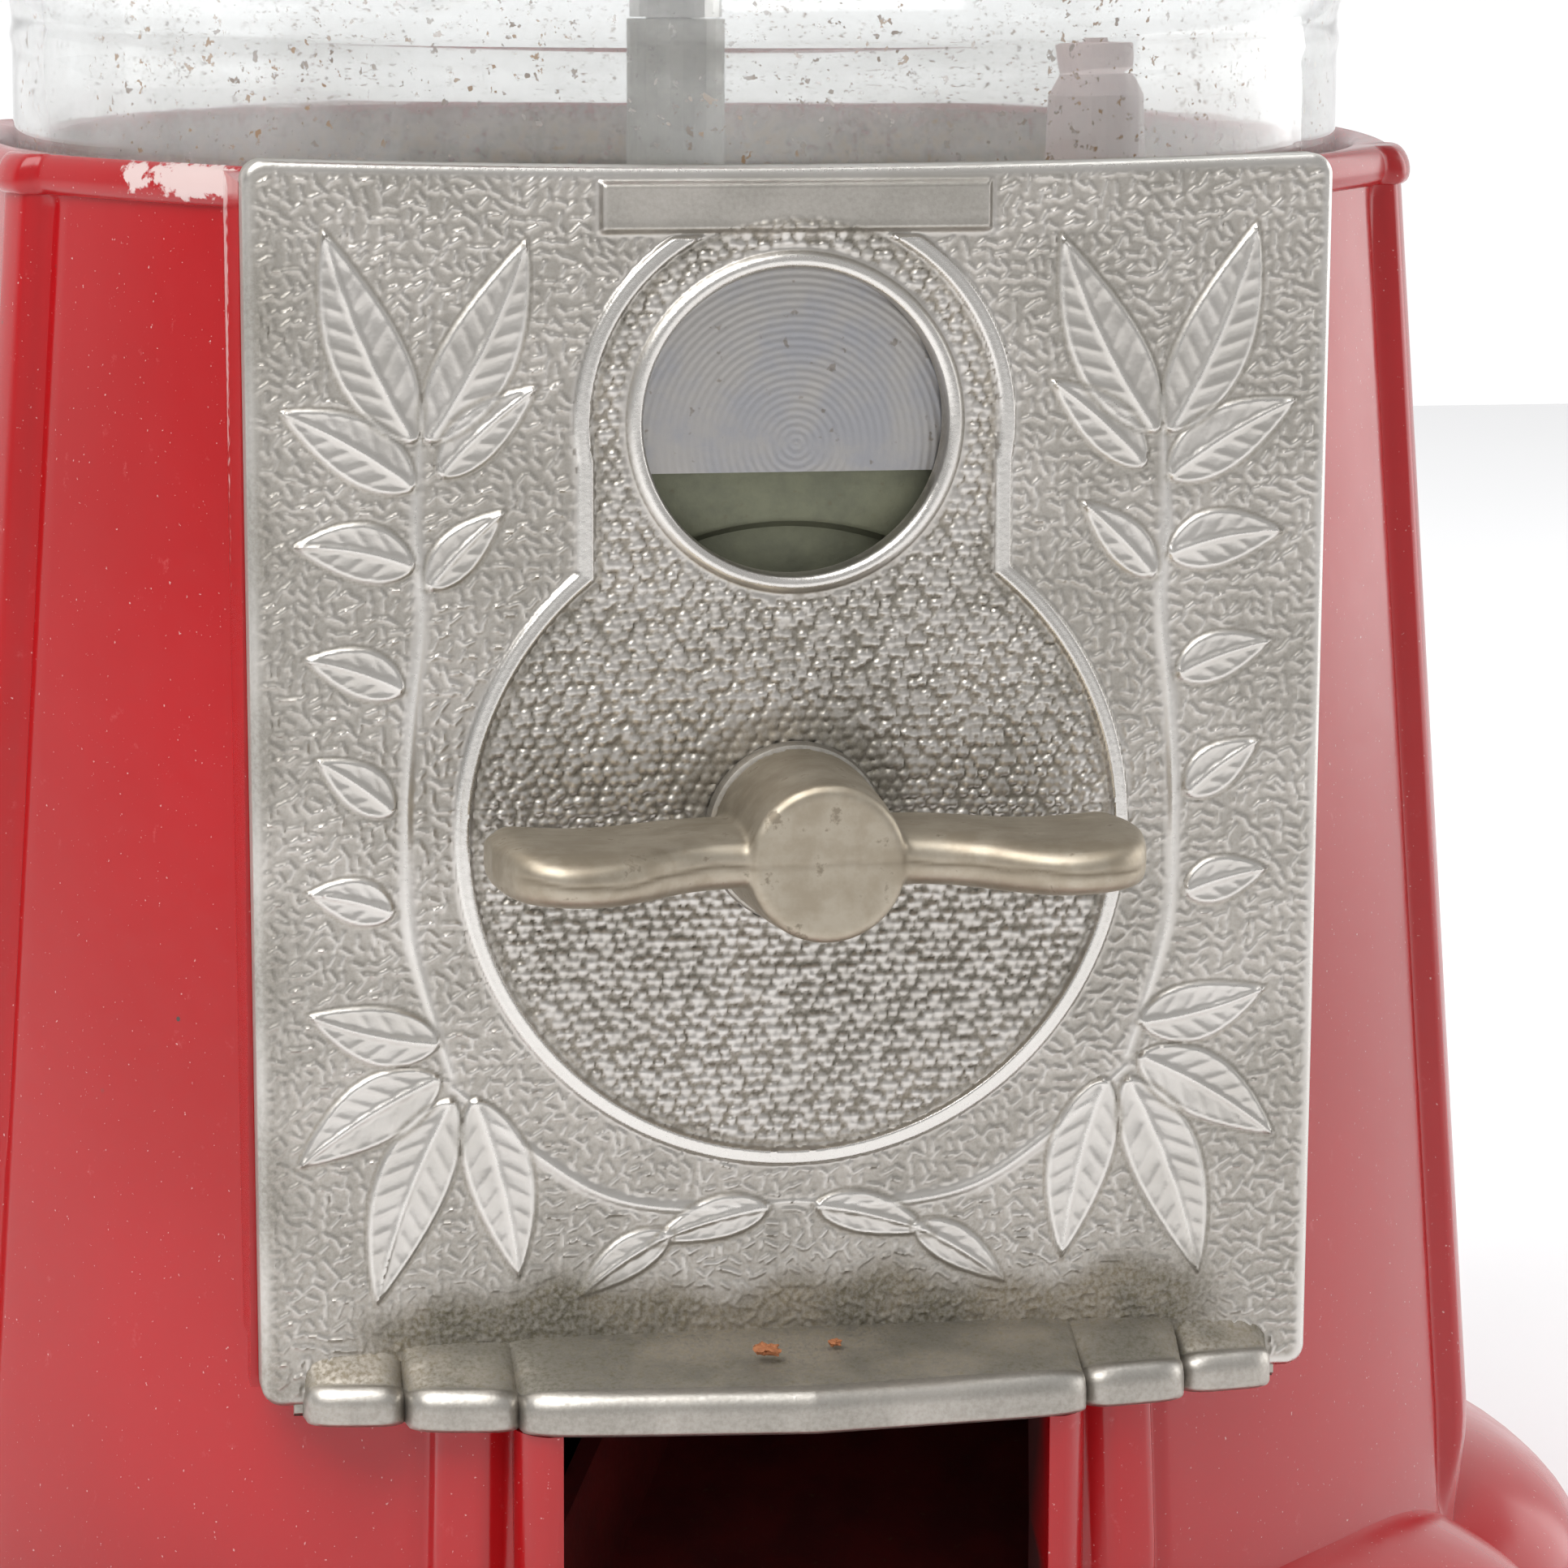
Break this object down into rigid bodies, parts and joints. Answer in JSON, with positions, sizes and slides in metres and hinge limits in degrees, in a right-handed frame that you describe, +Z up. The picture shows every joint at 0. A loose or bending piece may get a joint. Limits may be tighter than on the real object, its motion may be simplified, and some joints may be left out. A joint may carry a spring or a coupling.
{
  "type": "capsule vending machine",
  "caption": "Countertop capsule vending machine with a fluted red column, a pebbled front plate with a turn handle and coin window, a chute opening and a clear globe.",
  "frame": {"origin": "centre of the column on the table plane, at the underside of the rubber feet", "axes": "+Z up, -Y towards the user in front, +X to the user's right"},
  "size_m": [0.21, 0.21, 0.3845],
  "materials": {
    "red_enamel": "gloss red enamel with small chips",
    "cast_plate": "bare die-cast grey metal, satin, grime in the recesses",
    "worn_nickel": "worn nickel plating",
    "cast_zinc": "dull cast metal",
    "passivated_metal": "dull greenish grey passivated metal",
    "steel": "machined steel",
    "clear_glass": "clear, slightly dusty",
    "black_rubber": "matt",
    "wheel_plastic": "ivory plastic"
  },
  "bodies": {
    "machine": {"body_shell": "red_enamel", "bottom_cover": "steel", "foot_pad_1": "black_rubber", "foot_pad_2": "black_rubber", "foot_pad_3": "black_rubber", "foot_pad_4": "black_rubber", "tie_rod": "steel", "rod_nut": "steel", "rod_washer": "steel", "bed_column": "steel", "wheel_bed": "cast_zinc", "centre_standoff": "cast_zinc", "centre_tube": "steel", "hopper_funnel": "cast_zinc", "cutoff_plate": "steel", "deflector_post": "red_enamel", "globe_gasket": "black_rubber", "chute": "steel", "front_plate": "cast_plate", "coin_rest": "steel", "mech_backplate": "passivated_metal", "mech_post_1": "cast_zinc", "mech_post_2": "cast_zinc", "mech_post_3": "cast_zinc", "mech_post_4": "cast_zinc", "mech_screw_1": "steel", "mech_screw_2": "steel", "mech_screw_3": "steel", "mech_screw_4": "steel", "shaft_bush": "cast_plate", "ratchet_pawl_pin": "steel", "ratchet_pawl_spring": "steel", "coin_dog_pin": "steel", "coin_dog_spring": "steel"},
    "globe": {"globe": "clear_glass"},
    "handle": {"handle": "worn_nickel", "handle_shaft": "steel", "coin_carrier": "passivated_metal", "ratchet_wheel": "steel", "drive_pinion": "steel", "shaft_nut": "steel"},
    "wheel": {"capsule_wheel": "wheel_plastic", "crown_gear": "cast_zinc"},
    "lid": {"lid": "red_enamel"},
    "lid_nut": {"lid_nut": "steel"},
    "pawl": {"ratchet_pawl": "cast_zinc"},
    "dog": {"coin_dog": "cast_zinc"},
    "coin_plug": {"coin_plug": "black_rubber"}
  },
  "joints": [
    {"name": "handle_turn", "type": "hinge", "parent": "machine", "child": "handle", "pos_m": [0, -0.07, 0.0959], "axis": [0, 1, 0], "continuous": true},
    {"name": "wheel_turn", "type": "hinge", "parent": "machine", "child": "wheel", "pos_m": [0, 0, 0.12], "axis": [0, 0, 1], "continuous": true},
    {"name": "pawl_lift", "type": "hinge", "parent": "machine", "child": "pawl", "pos_m": [0.02503, -0.0597, 0.10601], "axis": [0, 1, 0], "range_deg": [0, 10], "stiffness_Nm_per_rad": 0.004, "springref_deg": -28.65},
    {"name": "coin_dog_lift", "type": "hinge", "parent": "machine", "child": "dog", "pos_m": [-0.03774, -0.0639, 0.11948], "axis": [0, -1, 0], "range_deg": [0, 10], "stiffness_Nm_per_rad": 0.004, "springref_deg": -28.65},
    {"name": "globe_lift", "type": "slide", "parent": "machine", "child": "globe", "axis": [0, 0, 1], "range_m": [0, 0.225]},
    {"name": "lid_lift", "type": "slide", "parent": "globe", "child": "lid", "axis": [0, 0, 1], "range_m": [0, 0.06]},
    {"name": "lid_nut_turn", "type": "hinge", "parent": "lid", "child": "lid_nut", "pos_m": [0, 0, 0.37], "axis": [0, 0, 1], "continuous": true},
    {"name": "coin_plug_pull", "type": "slide", "parent": "machine", "child": "coin_plug", "axis": [0, 0, -1], "range_m": [0, 0.03]}
  ],
  "couplings": [
    {"joint": "wheel_turn", "follows": "handle_turn", "ratio": 0.16667}
  ]
}
